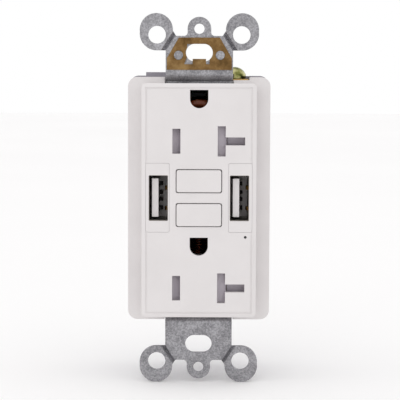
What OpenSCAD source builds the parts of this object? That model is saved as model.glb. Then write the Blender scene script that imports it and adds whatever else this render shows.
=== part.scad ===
// Duplex ground-fault outlet with two USB ports and 20 A tee slots, in millimetres.
// X runs across the face, Y runs into the wall and Z runs up.
// The origin lies in the wall plane, midway between the two wall-screw slots.

/* [Mounting strap] */
// Width of the strap's tabs
strap_w = 19.1; // [18.9:0.1:19.3]
// Thickness of the strap sheet
strap_t = 1.2; // [1.0:0.1:1.2]
// Spacing of the wall-screw slots
slot_pitch = 83.34; // [83.0:0.02:83.6]
// Spacing of the plate-screw holes
plate_pitch = 96.84; // [96.6:0.02:97.0]
// Radius of the plate-screw holes
plate_hole_r = 1.45; // [1.3:0.05:1.5]
// Spacing of the ear holes across the strap
ear_pitch_x = 24.0; // [23.6:0.1:24.4]
// Spacing of the ear holes along the strap
ear_pitch_z = 93.4; // [93.0:0.1:93.8]
// Radius of the ear holes
ear_hole_r = 2.5; // [2.3:0.05:2.6]

/* [Front cover] */
// Width of the raised face
face_w = 32.3; // [32.2:0.1:33.0]
// Height of the raised face
face_h = 66.0; // [65.8:0.1:66.2]
// How far the face stands in front of the wall plane
face_front = 7.8; // [7.6:0.1:8.0]
// Width of the skirt behind the face
skirt_w = 40.6; // [40.4:0.1:41.0]
// Height of the skirt behind the face
skirt_h = 69.6; // [69.4:0.1:69.8]

/* [Sockets] */
// Distance of each blade slot from the centre line
blade_x = 6.35; // [6.3:0.01:6.4]
// Height of the upper blade line
upper_z = 16.8; // [16.6:0.1:17.0]
// Height of the lower blade line
lower_z = -24.7; // [-24.9:0.1:-24.5]
// Rise of each ground hole above its blade line
ground_rise = 11.8; // [11.7:0.05:11.9]
// Width of the blade slots
slot_w = 2.25; // [2.1:0.05:2.3]

/* [Buttons and ports] */
// Width of the test and reset buttons
button_w = 12.56; // [12.4:0.02:12.7]
// Height of the test and reset buttons
button_h = 6.25; // [6.1:0.05:6.3]
// Height of the reset button's centre
reset_z = 5.6; // [5.5:0.1:5.7]
// Height of the test button's centre
test_z = -3.95; // [-4.05:0.05:-3.9]
// Distance of each USB port from the centre line
usb_x = 11.4; // [11.3:0.05:11.5]
// Height of the USB ports
usb_z = 0.8; // [0.7:0.1:0.9]

/* [Body] */
// Width of the rear body
body_w = 39.8; // [39.6:0.1:40.0]
// Height of the rear body
body_h = 70.4; // [70.2:0.1:70.6]
// Depth of the rear body behind the wall plane
body_depth = 32; // [32:0.5:34]

/* [Hidden] */
$fn = 48;
cut = 0.01;

// Levels along Y, from the face to the back of the body
face_y = -face_front;
face_t = 1.8;
face_back = face_y + face_t;
wall_t = 1.6;
face_r = 1.3;
border_w = 1.15;
border_drop = 0.35;
groove_w = 0.4;
groove_depth = 0.15;
skirt_y = 0.3;
skirt_t = 1.6;
skirt_back = 7.0;
skirt_r = 2.7;
body_y = 7.05;
body_r = 2.4;
body_floor = 2.0;
inner_y = 2.2;
frame_y = 3.8;
frame_t = 1.6;
usb_board_y = 6.4;
board_t = 1.2;
bus_y = 8.6;
bus_t = 0.8;
board_y = 26.0;
main_board_t = 1.6;

// Strap outline
tab_z = 46.4;
tab_top_half = 6.6;
tab_side_z = 41.8;
bend_z = 35.6;
rivet_z = slot_pitch / 2 - 0.75;
bend_r = 1.9;
fillet_r = 1.0;
score_w = 1.3;
slot_r = 2.5;
slot_len = 7.6;
ear_half_w = 4.7;
ear_low_z = 42.3;
ear_high_z = 52.8;
ear_x = 12.2;
centre_ear_r = 3.35;
strap_core_half = 4.2;
strap_wide_top = 23.5;
strap_wide_low = -30.2;
pin_clear_r = 3.3;

// Sockets
slot_h = 7.0;
tee_h = 8.5;
tee_end = 12.93;
ground_r = 2.56;
sockets = [upper_z, lower_z];

// Buttons and ports
button_gap = 0.25;
button_front = 8.15;
button_r = 0.6;
flange_w = 14.0;
flange_h = 7.6;
panel_x = 11.65;
panel_w = 6.7;
panel_h = 19.5;
panel_z = 0.9;
panel_t = 1.0;
block_x = 11.5;
block_w = 6.2;
block_h = 15.4;
port_w = 5.4;
port_h = 12.85;
shell_w = 5.72;
shell_h = 13.1;
shell_t = 0.3;
led_x = 13.1;
led_z = -10.2;

// Shutters
shutter_front = 5.85;
shutter_t = 1.6;
shutter_left = -9.9;
shutter_right = 7.75;
shutter_half_h = 4.6;
cap_y = -4.05;
cap_t = 0.95;
cap_half_w = 14.2;
cap_half_h = 5.9;

// Side terminals, given for the right-hand side and the upper end, then mirrored
term_z = 19;
term_y = 17;
pocket_half = 6.3;
pocket_x = 12.9;
pocket_wall_x = 11.3;
pocket_y0 = 8.6;
pocket_y1 = 25;
term_x = 12.95;
term_t = 1.2;
term_half = 5.6;
clamp_x = 16.6;
clamp_t = 1.2;
screw_r = 1.9;
screw_head_r = 3.6;
screw_head_t = 2.0;
wire_x = 15.4;
wire_r = 1.15;
wire_dz = 3.7;

// Ground screw at the upper right end
gs_x = 10.3;
gs_y = 10.9;
gs_head_r = 3.3;
gs_head_z = 34.3;
gs_head_h = 3.6;
gs_r = 1.85;
gs_plate_z = 33.6;
notch_depth = 0.85;
gs_term_z = 31.9;

// Case screws
case_x = 17.2;
case_z = 31.6;
case_r = 1.2;

// Mechanism
pin_r = 1.25;
plunger_y = 19.5;
plunger_r = 2.0;
arm_x = 6.4;
arm_pivot_z = 13;
arm_y = 12.2;
arm_t = 0.5;
contact_r = 1.5;
contact_z = -1;
coil_z = 21.5;
coil_y = 14.4;

plastic_white = "#f0eeed";
plastic_grey = "#a9a7ad";
zinc = "#a2a2a8";
brass = "#b08d4e";

// Plain building blocks
module box(lo, hi) { translate(lo) cube(hi - lo); }

module plate(y0, y1) { translate([0, y1, 0]) rotate([90, 0, 0]) linear_extrude(y1 - y0) children(); }

module side_plate(x0, x1) { translate([x0, 0, 0]) rotate([90, 0, 90]) linear_extrude(x1 - x0) children(); }

module rod_y(r, y0, y1) { translate([0, y1, 0]) rotate([90, 0, 0]) cylinder(r = r, h = y1 - y0); }

module rod_x(r, x0, x1) { translate([x0, 0, 0]) rotate([0, 90, 0]) cylinder(r = r, h = x1 - x0); }

module at(x, z) { translate([x, 0, z]) children(); }

module both_sides() {
    children();
    mirror([1, 0, 0]) children();
}

module both_ends() {
    children();
    mirror([0, 0, 1]) children();
}

module round_rect(w, h, r) {
    square([w - 2 * r, h], center = true);
    square([w, h - 2 * r], center = true);
    for (x = [-1, 1], z = [-1, 1])
        translate([x * (w / 2 - r), z * (h / 2 - r)]) circle(r);
}

module oval(w, h) {
    square([w - h, h], center = true);
    for (x = [-1, 1]) translate([x * (w - h) / 2, 0]) circle(h / 2);
}

// A round wire wound along +Z, swept as rings of points along a helix
function ring(turn_deg, z, r, wire, sides) = [
    for (k = [0:sides - 1])
        let (a = 360 * k / sides, rr = r + wire * cos(a))
        [rr * cos(turn_deg), rr * sin(turn_deg), z + wire * sin(a)]
];

module coil_spring(r, wire, length, turns) {
    sides = 6;
    steps = turns * 14;
    rise = length - 2 * wire;
    points = [
        for (i = [0:steps]) each ring(360 * turns * i / steps, wire + rise * i / steps, r, wire, sides)
    ];
    walls = [
        for (i = [0:steps - 1], k = [0:sides - 1])
            let (a = i * sides + k, b = i * sides + (k + 1) % sides)
            each [[a, a + sides, b], [b, a + sides, b + sides]]
    ];
    start_cap = [[for (k = [0:sides - 1]) k]];
    end_cap = [[for (k = [sides - 1:-1:0]) steps * sides + k]];
    polyhedron(points, concat(walls, start_cap, end_cap));
}

// Outlines seen from the front
module tee_slot(play) {
    translate([blade_x, 0]) square([slot_w + 2 * play, tee_h + 2 * play], center = true);
    translate([blade_x, -slot_w / 2 - play]) square([tee_end - blade_x + play, slot_w + 2 * play]);
}

module straight_slot(play) {
    translate([-blade_x, 0]) square([slot_w + 2 * play, slot_h + 2 * play], center = true);
}

module ground_hole() {
    circle(ground_r);
    translate([-ground_r, 0]) square([2 * ground_r, ground_r]);
}

// The right-hand edge of a tab, from the body out to the inner side of its break-off ear
tab_edge = [
    [strap_w / 2, 0], [strap_w / 2, ear_low_z], [ear_x, ear_low_z], [ear_x, tab_z],
    [ear_x - 2, tab_z + 2], [tab_top_half + 0.9, tab_z + 1.4], [tab_top_half, tab_z]
];

module strap_tab() {
    polygon([
        each tab_edge,
        for (i = [len(tab_edge) - 1:-1:0]) [-tab_edge[i].x, tab_edge[i].y]
    ]);
    translate([0, plate_pitch / 2]) circle(centre_ear_r);
    translate([-centre_ear_r, tab_z - 1]) square([2 * centre_ear_r, plate_pitch / 2 - tab_z + 1]);
    for (side = [-1, 1], z = [ear_low_z + ear_half_w, ear_high_z - ear_half_w])
        translate([side * ear_x, z]) circle(ear_half_w);
    // round fillets where the centre ear leaves the tab
    for (side = [-1, 1]) difference() {
        translate([side * (centre_ear_r + fillet_r / 2 - 0.1), tab_z + fillet_r / 2 - 0.1])
            square([fillet_r + 0.2, fillet_r + 0.2], center = true);
        translate([side * (centre_ear_r + fillet_r), tab_z + fillet_r]) circle(fillet_r);
    }
}

module strap_outline() {
    difference() {
        union() {
            difference() {
                for (end = [0, 1]) mirror([0, end]) strap_tab();
                translate([-strap_w, strap_wide_low]) square([2 * strap_w, strap_wide_top - strap_wide_low]);
            }
            translate([-strap_core_half, strap_wide_low - 1])
                square([2 * strap_core_half, strap_wide_top - strap_wide_low + 2]);
            translate([-6.5, -8.5]) square([13, 19]);
        }
        for (end = [-1, 1]) {
            translate([0, end * slot_pitch / 2]) oval(slot_len, 2 * slot_r);
            translate([0, end * plate_pitch / 2]) circle(plate_hole_r);
            for (side = [-1, 1])
                translate([side * ear_pitch_x / 2, end * ear_pitch_z / 2]) circle(ear_hole_r);
        }
        for (z = sockets) translate([0, z + ground_rise]) circle(pin_clear_r);
        translate([0, reset_z]) circle(3.3);
        translate([0, test_z]) circle(1.5);
        for (side = [-1, 1]) translate([side * 5.9, rivet_z]) circle(0.95);
    }
}

// Side view of the strap: a flat tab at each end, bent back round a radius, and a flat core between
function arc(y, z, r, start) = [for (a = [start:10:start + 90]) [y + r * cos(a), z + r * sin(a)]];
bend_low_z = bend_z - bend_r;
strap_front = [
    [-strap_t, ear_high_z + 1], each arc(bend_r - strap_t, bend_z, bend_r, 180), [inner_y, bend_low_z]
];
strap_back = [
    each arc(inner_y + strap_t - bend_r, bend_low_z + strap_t - bend_r, bend_r, 0),
    [0, bend_low_z + strap_t], [0, ear_high_z + 1]
];
function turned_over(points) = [for (i = [len(points) - 1:-1:0]) [points[i].x, -points[i].y]];

module strap_side() {
    polygon([each strap_front, each turned_over(strap_front), each turned_over(strap_back), each strap_back]);
}

module mounting_strap() {
    score_tilt = atan2(tab_z - tab_side_z, strap_w / 2 - tab_top_half);
    color(zinc)
    difference() {
        intersection() {
            side_plate(-20, 20) strap_side();
            plate(-strap_t - 1, inner_y + strap_t + 1) strap_outline();
        }
        // vee score across the neck of each ear, where it can be broken off
        both_ends() both_sides()
            translate([(strap_w / 2 + tab_top_half) / 2 + 0.6, -strap_t, (tab_side_z + tab_z) / 2 + 0.5])
                rotate([0, score_tilt, 0]) rotate([45, 0, 0])
                    cube([9, score_w / sqrt(2), score_w / sqrt(2)], center = true);
    }
}

module ground_clip() {
    z0 = 36.8;
    half = 9.2;
    color(brass)
    plate(-strap_t - 0.5, -strap_t)
        difference() {
            polygon([[-half, z0], [half, z0], [half, 40.1], [5.8, 45.9], [-5.8, 45.9], [-half, 40.1]]);
            difference() {
                union() {
                    translate([0, slot_pitch / 2]) oval(slot_len + 0.1, 2 * slot_r - 0.1);
                    polygon([
                        [-3.5, 44.1], [0, 44.1], [0, 38.4], [-4.3, 38.4], [-3.5, 40.4]
                    ]);
                    translate([0, 38.4]) square([2.9, 2.4]);
                }
                translate([-1.9, 38]) square([3.8, 1.9]);
            }
            for (side = [-1, 1]) translate([side * 5.9, rivet_z]) circle(0.95);
        }
}

module clip_rivets() {
    color(zinc)
    both_sides() at(5.9, rivet_z) {
        rod_y(1.3, -strap_t - 0.8, -strap_t - 0.5);
        rod_y(0.9, -strap_t - 0.5, 0);
    }
}

module face_border_cut() {
    past_edge = face_y + border_drop * 1.87;
    for (side = [-1, 1]) {
        linear_extrude(face_h + 2, center = true)
            polygon([
                [side * (face_w / 2 - border_w), face_y - cut], [side * (face_w / 2 + 1), face_y - cut],
                [side * (face_w / 2 + 1), past_edge], [side * face_w / 2, face_y + border_drop]
            ]);
        side_plate(-face_w / 2 - 1, face_w / 2 + 1)
            polygon([
                [face_y - cut, side * (face_h / 2 - border_w)], [face_y - cut, side * (face_h / 2 + 1)],
                [past_edge, side * (face_h / 2 + 1)], [face_y + border_drop, side * face_h / 2]
            ]);
    }
}

module front_cover() {
    color(plastic_white)
    difference() {
        union() {
            plate(face_y, skirt_y + skirt_t) round_rect(face_w, face_h, face_r);
            plate(skirt_y, skirt_back) round_rect(skirt_w, skirt_h, skirt_r);
        }
        face_border_cut();
        // a fine groove round the flat field of the face
        plate(face_y - 1, face_y + groove_depth) difference() {
            square([face_w - 2 * border_w, face_h - 2 * border_w], center = true);
            square([face_w - 2 * (border_w + groove_w), face_h - 2 * (border_w + groove_w)], center = true);
        }
        // hollow of the face and hollow of the skirt, which leaves bosses for the case screws
        plate(face_back, skirt_y + skirt_t + cut)
            square([face_w - 2 * wall_t - 0.3, face_h - 2 * wall_t], center = true);
        plate(skirt_y + skirt_t, skirt_back + cut)
            difference() {
                round_rect(skirt_w - 2 * wall_t + 0.2, skirt_h - 2 * wall_t + 0.2, 1.2);
                for (x = [-case_x, case_x], z = [-case_z, case_z]) translate([x, z]) circle(2.4);
            }
        both_sides() both_ends() at(case_x, case_z) rod_y(case_r + 0.05, 2.9, skirt_back + cut);
        // sockets
        for (z = sockets) plate(face_y - 1, face_back + cut) translate([0, z]) {
            straight_slot(0);
            tee_slot(0);
            translate([0, ground_rise]) ground_hole();
        }
        // buttons, USB bezels and the pinhole of the status light
        for (z = [reset_z, test_z]) plate(face_y - 1, face_back + cut)
            translate([0, z]) round_rect(button_w + 2 * button_gap, button_h + 2 * button_gap, button_r);
        both_sides() at(panel_x, panel_z) {
            plate(face_y - 1, face_y + panel_t) round_rect(panel_w, panel_h, 0.4);
            at(block_x - panel_x, 0) plate(face_y, face_back + cut) square([block_w, block_h], center = true);
        }
        at(led_x, led_z) rod_y(0.4, face_y - 1, face_back + cut);
        // a shallow notch in the upper edge clears the ground screw
        box([strap_w / 2, skirt_y - 1, skirt_h / 2 - notch_depth], [14.4, skirt_back + cut, skirt_h / 2 + 1]);
        // the strap leaves the skirt through a notch at each end
        both_ends()
            box([-strap_w / 2 - 0.25, -1, face_h / 2 + cut], [strap_w / 2 + 0.25, 3.8, skirt_h / 2 + 1]);
    }
}

// USB bezels: a flush panel stepped down to a block that fills the opening in the cover
module usb_bezels() {
    color(plastic_white)
    for (side = [-1, 1]) at(side * panel_x, panel_z)
    difference() {
        union() {
            plate(face_y + 0.02, face_y + panel_t) round_rect(panel_w - 0.1, panel_h - 0.1, 0.35);
            at(side * (block_x - panel_x), 0)
                plate(face_y + panel_t, face_back) square([block_w - 0.1, block_h - 0.1], center = true);
        }
        at(side * (usb_x - panel_x), usb_z - panel_z) {
            plate(face_y - 1, face_y + 0.8) round_rect(port_w, port_h, 0.3);
            plate(face_y + 0.7, face_back + cut) square([shell_w + 0.04, shell_h + 0.04], center = true);
        }
    }
}

module rear_body() {
    inner_w = body_w - 2 * wall_t + 0.1;
    inner_h = body_h - 2 * wall_t;
    color(plastic_grey)
    difference() {
        union() {
            difference() {
                plate(body_y, body_depth) round_rect(body_w, body_h, body_r);
                plate(body_y - cut, body_depth - body_floor) round_rect(inner_w, inner_h, 1);
            }
            both_sides() both_ends() {
                box([pocket_wall_x, body_y, term_z - pocket_half - 1.3],
                    [body_w / 2 - 1, body_depth - body_floor + 0.5, term_z + pocket_half + 1.3]);
                at(case_x, case_z) rod_y(2.5, body_y, body_depth - 0.5);
            }
            box([5.2, body_y, 29], [15.9, 15.9, body_h / 2 - 0.5]);
            box([-15.4, body_y, body_h / 2 - 1], [-9.5, 14, body_h / 2 + 1]);
        }
        both_sides() both_ends() {
            box([pocket_x, pocket_y0, term_z - pocket_half], [body_w, pocket_y1, term_z + pocket_half]);
            for (dz = [-wire_dz, wire_dz])
                at(wire_x, term_z + dz) rod_y(wire_r, pocket_y1 - 1, body_depth + 1);
            translate([0, term_y, term_z]) rod_x(2.3, 9, pocket_x + 1);
            box([9, 21.3, term_z - 2.3], [pocket_x + 1, 23.1, term_z + 2.3]);
            at(case_x, case_z) {
                rod_y(case_r + 0.15, body_y - 1, body_depth + 1);
                rod_y(2.4, body_depth - 1.7, body_depth + 1);
            }
        }
        // room for the tip of a blade in the bar of each tee slot
        for (z = sockets) box([11, body_y - 1, z - 1.3], [12.6, 10.6, z + 1.3]);
        box([6.5, body_y - 1, gs_term_z - 0.1], [14.6, 15, body_h]);
        translate([gs_x, gs_y, 29.6]) cylinder(r = 2.2, h = 10);
    }
}

module inner_frame() {
    color("#4d5560")
    plate(frame_y, frame_y + frame_t)
    difference() {
        square([36.4, 65.6], center = true);
        for (z = sockets) translate([0, z]) {
            translate([0, ground_rise]) circle(pin_clear_r + 0.1);
            translate([-8.4, -3.8]) square([3.95, 7.6]);
            translate([4.45, -3.8]) square([8.9, 7.6]);
        }
        for (side = [-1, 1])
            translate([side * usb_x, usb_z]) square([shell_w + 0.3, shell_h + 0.3], center = true);
        for (x = [-case_x, case_x], z = [-case_z, case_z]) translate([x, z]) circle(2.8);
        translate([0, reset_z]) circle(1.5);
        translate([0, test_z]) circle(1.5);
        translate([led_x, led_z]) circle(1.3);
        translate([6.5, 27]) square([7.7, 7]);
    }
}

// Ground contacts: a ring on the strap and two leaves for each ground pin
module ground_contacts() {
    base_y = inner_y - 0.8;
    color(brass)
    for (z = sockets) at(0, z + ground_rise) {
        plate(base_y, inner_y) difference() {
            translate([-4.3, -3.8]) square([8.6, 6.4]);
            circle(pin_clear_r);
        }
        both_sides()
            translate([0, 0, -1.9]) linear_extrude(3.8)
                polygon([
                    [3.0, base_y], [3.9, base_y], [3.4, 0], [2.75, -3.6], [3.2, -5.2],
                    [2.7, -5.2], [2.2, -3.6], [2.6, 0]
                ]);
    }
}

module ground_terminal() {
    y0 = inner_y + strap_t + 0.05;
    color(brass)
    difference() {
        union() {
            box([6.8, y0, 27.5], [13.9, y0 + 1.1, gs_term_z + 1.2]);
            box([6.8, y0, gs_term_z], [13.9, 14.6, gs_term_z + 1.2]);
        }
        translate([gs_x, gs_y, 30]) cylinder(r = gs_r + 0.07, h = 5);
    }
}

module ground_clamp() {
    color(brass)
    difference() {
        box([6.8, 7.3, gs_plate_z], [14.3, 14.6, gs_head_z]);
        translate([gs_x, gs_y, 30]) cylinder(r = gs_r + 0.1, h = 10);
    }
}

module ground_screw() {
    slot_half = 0.5;
    color("#7f9a5a")
    difference() {
        translate([gs_x, gs_y, 0]) {
            translate([0, 0, 30.4]) cylinder(r = gs_r, h = gs_head_z - 30.4 + 0.1);
            translate([0, 0, gs_head_z]) cylinder(r = gs_head_r, h = 1.2);
            // domed top: the part of a ball that lies above the straight rim
            intersection() {
                translate([0, 0, gs_head_z + 1.1]) cylinder(r = gs_head_r, h = 3);
                translate([0, 0, gs_head_z + gs_head_h - 3.6]) sphere(3.6);
            }
        }
        translate([gs_x, gs_y, gs_head_z + gs_head_h]) cube([8, 2 * slot_half, 2.4], center = true);
    }
}

// A fork that grips a flat blade: two leaves that close towards the face
module blade_fork(length) {
    translate([0, 0, -length / 2]) linear_extrude(length)
        for (side = [0, 1]) mirror([side, 0])
            polygon([
                [1.05, bus_y], [1.6, bus_y], [1.5, 1], [1.3, -1.2], [1.7, -2.7],
                [1.2, -2.7], [0.8, -1.2], [0.95, 1]
            ]);
}

module bus(side, outer) {
    x0 = side > 0 ? 4.5 : -outer;
    x1 = side > 0 ? outer : -4.5;
    box([x0, bus_y, lower_z - 3.4], [x1, bus_y + bus_t, upper_z + 3.4]);
    at(side * arm_x, contact_z) rod_y(contact_r, bus_y + bus_t, bus_y + bus_t + 0.8);
}

module hot_bus() {
    color(brass) {
        bus(-1, 8.3);
        for (z = sockets) at(-blade_x, z) blade_fork(6.4);
    }
}

module neutral_bus() {
    color(brass) {
        bus(1, 8.3);
        for (z = sockets) {
            at(0, z) {
                // the tee slot's bar enters between an upper and a lower leaf
                both_ends() {
                    box([7.5, 5.8, 1.05], [8.3, bus_y + bus_t, 2.6]);
                    box([7.5, 5.8, 1.05], [12.4, 6.6, 2.6]);
                    side_plate(8.8, 12.4)
                        polygon([
                            [6, 1.05], [6, 1.6], [1, 1.5], [-1.2, 1.3], [-2.7, 1.7],
                            [-2.7, 1.2], [-1.2, 0.8], [1, 0.95]
                        ]);
                }
            }
            difference() {
                at(blade_x, z) blade_fork(6.4);
                at(blade_x, z) box([0.5, -3, -1.5], [2, bus_y - 1, 1.5]);
            }
        }
    }
}

// The four side terminals, clamps and screws
module terminal(side, end) {
    mirror([side < 0 ? 1 : 0, 0, 0]) mirror([0, 0, end < 0 ? 1 : 0])
    difference() {
        union() {
            box([term_x, 9, term_z - term_half], [term_x + term_t, 24.6, term_z + term_half]);
            box([9.6, 21.6, term_z - 2], [term_x, 22.8, term_z + 2]);
            box([9.6, 22.8, term_z - 2], [10.8, board_y, term_z + 2]);
        }
        translate([0, term_y, term_z]) rod_x(screw_r + 0.05, 5, 20);
    }
}
module line_hot_terminal() { color(brass) terminal(-1, 1); }
module line_neutral_terminal() { color(zinc) terminal(1, 1); }
module load_hot_terminal() { color(brass) terminal(-1, -1); }
module load_neutral_terminal() { color(zinc) terminal(1, -1); }

module clamp_plate(side, end) {
    mirror([side < 0 ? 1 : 0, 0, 0]) mirror([0, 0, end < 0 ? 1 : 0])
    difference() {
        box([clamp_x, term_y - 6.4, term_z - term_half],
            [clamp_x + clamp_t, term_y + 6.4, term_z + term_half]);
        translate([0, term_y, term_z]) rod_x(screw_r + 0.1, 5, 20);
    }
}
module line_hot_clamp() { color(brass) clamp_plate(-1, 1); }
module line_neutral_clamp() { color(zinc) clamp_plate(1, 1); }
module load_hot_clamp() { color(brass) clamp_plate(-1, -1); }
module load_neutral_clamp() { color(zinc) clamp_plate(1, -1); }

module terminal_screw(side, end) {
    head_x = clamp_x + clamp_t;
    mirror([side < 0 ? 1 : 0, 0, 0]) mirror([0, 0, end < 0 ? 1 : 0])
    translate([0, term_y, term_z])
    difference() {
        union() {
            rod_x(screw_r, 12.4, head_x + 0.1);
            rod_x(screw_head_r, head_x, head_x + screw_head_t);
        }
        translate([head_x + screw_head_t, 0, 0]) {
            cube([1.8, 1, 8], center = true);
            cube([1.8, 4.4, 1], center = true);
        }
    }
}
module line_hot_screw() { color(brass) terminal_screw(-1, 1); }
module line_neutral_screw() { color(zinc) terminal_screw(1, 1); }
module load_hot_screw() { color(brass) terminal_screw(-1, -1); }
module load_neutral_screw() { color(zinc) terminal_screw(1, -1); }

// Shutter trays behind the sockets
module shutter_caps() {
    color("#7a787e")
    for (z = sockets) at(0, z) difference() {
        box([-cap_half_w, face_back + 0.05, -cap_half_h], [cap_half_w, cap_y + cap_t, cap_half_h]);
        box([-cap_half_w + 0.8, face_y, -cap_half_h + 0.8], [cap_half_w - 0.8, cap_y, cap_half_h - 0.8]);
        plate(cap_y - cut, cap_y + 2) {
            straight_slot(0.3);
            tee_slot(0.3);
        }
    }
}

// A shutter slides sideways when two blades press on its ramps
module shutter(z) {
    ramp = 2.6;
    at(0, z) difference() {
        box([shutter_left, -shutter_front, -shutter_half_h],
            [shutter_right, -shutter_front + shutter_t, shutter_half_h]);
        box([-4.7, -7, -3.8], [-2.1, 0, 3.8]);
        // a steep ramp behind the straight slot and a gentle one behind the tee slot
        for (side = [-1, 1])
            translate([side * blade_x - ramp / 2, 0, -4.4]) linear_extrude(8.8)
                polygon([
                    [0, -shutter_front - cut], [ramp, -shutter_front - cut],
                    [ramp, -shutter_front + (side < 0 ? 1.1 : 0.5)]
                ]);
    }
}
module shutter_upper() { color(plastic_grey) shutter(upper_z); }
module shutter_lower() { color(plastic_grey) shutter(lower_z); }

// A small plate that closes the bar of the tee slot and slides up when a blade presses on its ramp
module bar_shutter(z) {
    back = -shutter_front + 1.7;
    at(0, z) side_plate(shutter_right + 0.2, cap_half_w - 1)
        polygon([
            [back, -1.6], [back, 2.2], [-shutter_front - 0.05, 2.2], [-shutter_front - 0.05, 1.35],
            [-5.2, 1.35], [-5.2, 0.6], [-4.5, -1.6]
        ]);
}
module bar_shutter_upper() { color(plastic_grey) bar_shutter(upper_z); }
module bar_shutter_lower() { color(plastic_grey) bar_shutter(lower_z); }

module shutter_spring(z) {
    start = -cap_half_w + 0.85;
    translate([start, -shutter_front + shutter_t / 2, z]) rotate([0, 90, 0])
        coil_spring(0.6, 0.11, shutter_left - start - 0.03, 6);
}
module shutter_spring_upper() { color(zinc) shutter_spring(upper_z); }
module shutter_spring_lower() { color(zinc) shutter_spring(lower_z); }

module button_cap() {
    plate(-button_front, -3.4) round_rect(button_w, button_h, button_r);
    plate(face_back + 0.05, -4.9) square([flange_w, flange_h], center = true);
}

module test_button() {
    color(plastic_white) at(0, test_z) {
        button_cap();
        rod_y(1.1, -3.5, 4.3);
    }
}

module reset_button() { color(plastic_white) at(0, reset_z) button_cap(); }

module reset_pin() {
    color(zinc) at(0, reset_z) {
        rod_y(pin_r, -3.4, 17.6);
        rod_y(0.75, 17.5, 19);
        translate([0, 20.2, 0]) rotate([90, 0, 0]) cylinder(r1 = 0.8, r2 = pin_r, h = 1.3);
    }
}

module reset_spring() {
    color(zinc)
    translate([0, frame_y - 0.03, reset_z]) rotate([90, 0, 0]) coil_spring(2.5, 0.25, frame_y + 3.34, 6);
}

module test_spring() {
    color(zinc)
    translate([0, inner_y - 0.03, test_z]) rotate([90, 0, 0]) coil_spring(1.8, 0.2, inner_y + 5.5 - 2.16, 5);
}

module test_contact() {
    color(brass) {
        box([-1.6, 5.6, -9], [1.6, 5.85, -2.4]);
        box([-1.6, 5.85, -9], [1.6, usb_board_y, -8.2]);
    }
}

module latch_carrier() {
    color("#8e3b2e")
    difference() {
        union() {
            box([-8.2, 17.2, -1.6], [8.2, 21.6, 10.2]);
            both_sides() at(arm_x, 1) rod_y(1.1, arm_y + arm_t + 0.08, 17.3);
        }
        at(0, reset_z) rod_y(1.6, 10, 25);
        box([-4.3, 19, -3], [4.3, 20, 12]);
    }
}

module latch_plate() {
    color(zinc)
    plate(19.2, 19.8)
    difference() {
        translate([-4, -3.6]) square([8, 12.2]);
        translate([0, reset_z]) circle(1.6);
        translate([0, reset_z - 1.5]) circle(1.6);
        translate([-1.6, reset_z - 1.5]) square([3.2, 1.5]);
    }
}

module contact_arm(side) {
    color(brass) at(side * arm_x, 0) {
        box([-1.6, arm_y, contact_z - 1.7], [1.6, arm_y + arm_t, arm_pivot_z + 0.6]);
        at(0, contact_z) rod_y(contact_r, arm_y - 0.6, arm_y);
    }
}
module contact_arm_hot() { contact_arm(-1); }
module contact_arm_neutral() { contact_arm(1); }

module coil_conductors() {
    color(brass) both_sides() {
        at(1.1, coil_z) rod_y(0.7, arm_y + arm_t, board_y);
        box([0.4, arm_y, coil_z - 0.9], [arm_x + 1.2, arm_y + arm_t, coil_z + 0.9]);
        box([arm_x - 1.2, arm_y, arm_pivot_z + 0.9], [arm_x + 1.2, arm_y + arm_t, coil_z]);
    }
}

module coil_housing() {
    color("#3a3c42")
    at(0, coil_z) difference() {
        rod_y(8.8, coil_y, board_y);
        difference() {
            rod_y(7.9, coil_y - 1, board_y - 1);
            rod_y(3.1, coil_y, board_y);
        }
        rod_y(2.1, coil_y - 1, board_y + 1);
    }
}

module toroid(y0, y1) {
    at(0, coil_z) difference() {
        rod_y(7.6, y0, y1);
        rod_y(3.4, y0 - 1, y1 + 1);
    }
}
module sense_coil() { color("#a4562d") toroid(15.3, 19.4); }
module neutral_coil() { color("#a4562d") toroid(20.2, 24.3); }

module solenoid_bobbin() {
    color("#2c2d31")
    translate([0, plunger_y, 0]) difference() {
        union() {
            translate([0, 0, -24.5]) cylinder(r = 3, h = 18);
            for (z = [-24.5, -7.5]) box([-5.6, -5.6, z], [5.6, board_y - plunger_y, z + 1]);
        }
        translate([0, 0, -25]) cylinder(r = plunger_r + 0.1, h = 20);
    }
}

module solenoid_winding() {
    color("#a4562d")
    translate([0, plunger_y, -23.45]) difference() {
        cylinder(r = 5.3, h = 15.9);
        translate([0, 0, -1]) cylinder(r = 3.05, h = 18);
    }
}

module solenoid_plunger() {
    color(zinc) translate([0, plunger_y, 0]) {
        translate([0, 0, -28.6]) cylinder(r = plunger_r, h = 24.7);
        translate([0, 0, -30.2]) cylinder(r = 2.9, h = 1.6);
    }
}

module plunger_spring() {
    color(zinc) translate([0, plunger_y, -28.57]) coil_spring(2.4, 0.2, 4.04, 4);
}

module main_board() {
    color("#2f6b3f")
    plate(board_y, board_y + main_board_t) difference() {
        union() {
            square([22, 65.6], center = true);
            square([36, 22.8], center = true);
            for (z = [-30, 30]) translate([0, z]) square([28.8, 5.6], center = true);
        }
        for (side = [-1, 1]) translate([side * 1.1, coil_z]) circle(0.75);
    }
}

module board_parts() {
    color("#3b5f9e") {
        translate([0, 20.5, -28.4]) rod_x(4.6, 7.3, 10.5);
        box([-12, 24.2, -31], [-7, board_y, -27]);
        box([-4, 22, 30.6], [4, board_y, 32.4]);
        at(13.5, 0) rod_y(3.9, 12, board_y);
        for (x = [-14.5, -12.5]) at(x, 9.5) rod_y(0.4, usb_board_y + board_t, board_y);
    }
}

module usb_board() {
    color("#2f6b3f")
    plate(usb_board_y, usb_board_y + board_t) difference() {
        translate([-16.4, -11.3]) square([32.8, 22.5]);
        translate([0, reset_z]) circle(1.7);
        translate([-1.9, lower_z + ground_rise - 3.1]) square([3.8, 3.5 + 3.1]);
    }
}

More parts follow.
